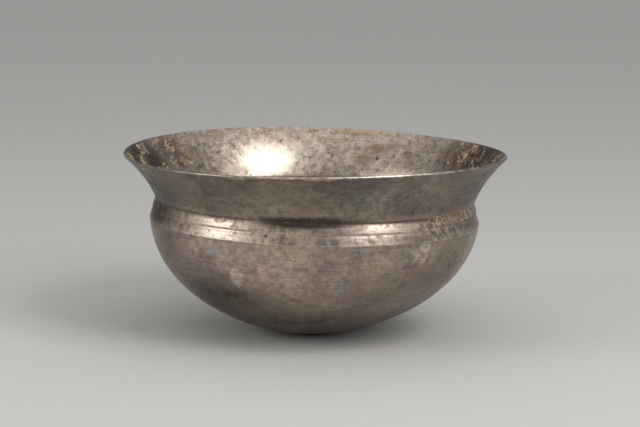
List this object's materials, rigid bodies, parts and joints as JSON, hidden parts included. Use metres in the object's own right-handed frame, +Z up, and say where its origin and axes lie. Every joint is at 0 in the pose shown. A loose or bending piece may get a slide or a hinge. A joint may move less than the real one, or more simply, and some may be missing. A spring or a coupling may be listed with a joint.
{
  "type": "silver bowl",
  "caption": "Deep round silver bowl with a flaring neck, a thin rounded lip, low bands chased round the shoulder and a small flattened rest.",
  "frame": {"origin": "centre of the flattened rest under the bowl, on the surface that it stands on", "axes": "+Z up along the axis that the bowl is round about; +X to the right and +Y away from a viewer in front"},
  "size_m": [0.15, 0.15, 0.0712],
  "materials": {
    "tarnished_silver": "old silver, raised by hammer and burnished, tarnished grey-brown, with patches of tan burial crust"
  },
  "bodies": {
    "root": {"bowl": "tarnished_silver"}
  },
  "joints": []
}
